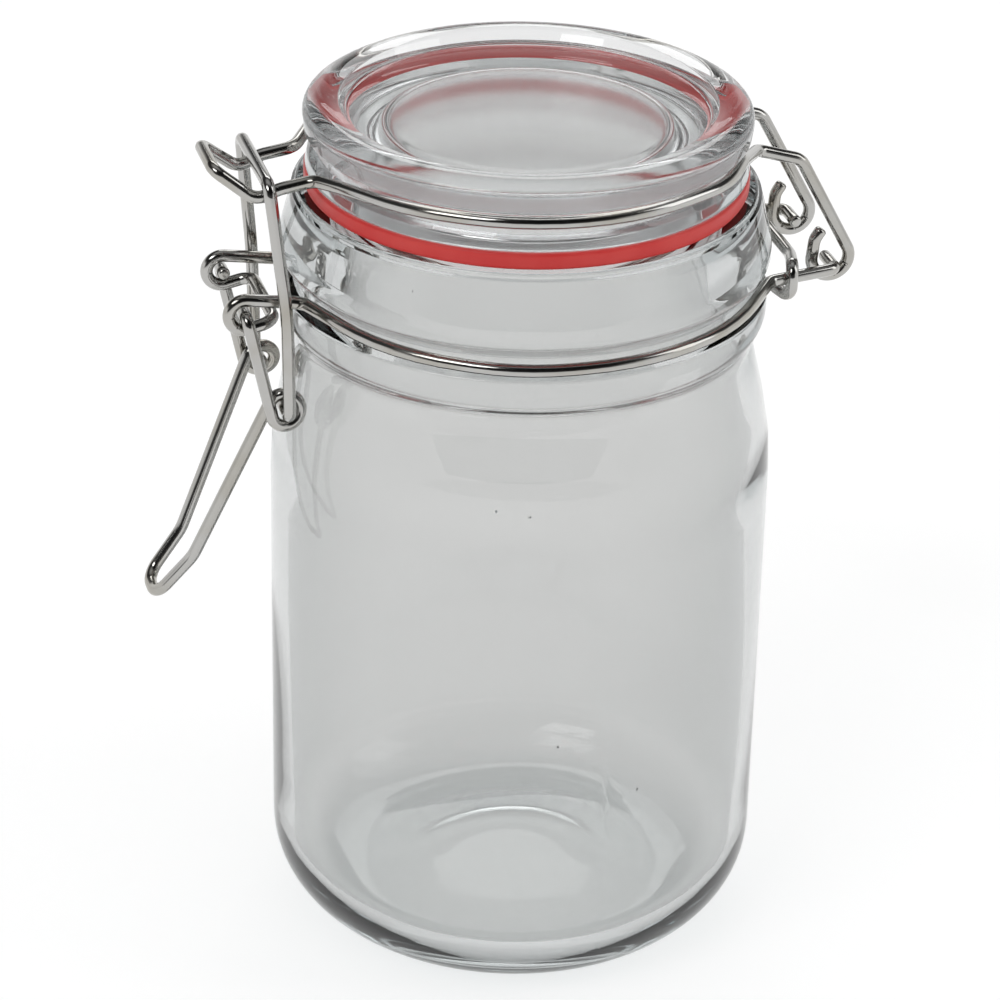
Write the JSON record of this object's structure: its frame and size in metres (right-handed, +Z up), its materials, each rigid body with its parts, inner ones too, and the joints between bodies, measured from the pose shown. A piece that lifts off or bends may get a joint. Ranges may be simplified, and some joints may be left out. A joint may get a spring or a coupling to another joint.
{
  "type": "clip-top jar",
  "caption": "Empty clear glass storage jar with a hinged glass lid, a red rubber sealing ring and a wire clip clasp that pulls the lid shut.",
  "frame": {"origin": "middle of the ring foot that the jar stands on, on the jar's axis", "axes": "+Z up the jar's axis, -X towards the clasp, +X towards the lid's hinge, hinge pins along Y"},
  "size_m": [0.1198, 0.085, 0.1507],
  "materials": {
    "glass": "clear pressed glass",
    "seal": "smooth soft rubber",
    "wire": "polished"
  },
  "bodies": {
    "jar": {"jar_glass": "glass", "neck_wire": "wire"},
    "lid": {"lid_glass": "glass", "seal_ring": "seal", "lid_wire": "wire"},
    "lever": {"clasp_lever": "wire"},
    "link": {"clasp_link": "wire"}
  },
  "joints": [
    {"name": "lid_hinge", "type": "hinge", "parent": "jar", "child": "lid", "pos_m": [0.0504, 0, 0.1204], "axis": [0, 1, 0], "range_deg": [0, 110]},
    {"name": "clasp_lever_pivot", "type": "hinge", "parent": "jar", "child": "lever", "pos_m": [-0.0494, 0, 0.1207], "axis": [0, 1, 0], "range_deg": [0, 105]},
    {"name": "clasp_link_pivot", "type": "hinge", "parent": "lever", "child": "link", "pos_m": [-0.04305, 0, 0.1035], "axis": [0, 1, 0], "range_deg": [-64.1, 0]}
  ],
  "couplings": [
    {"joint": "clasp_link_pivot", "follows": "clasp_lever_pivot", "ratio": -0.61}
  ]
}
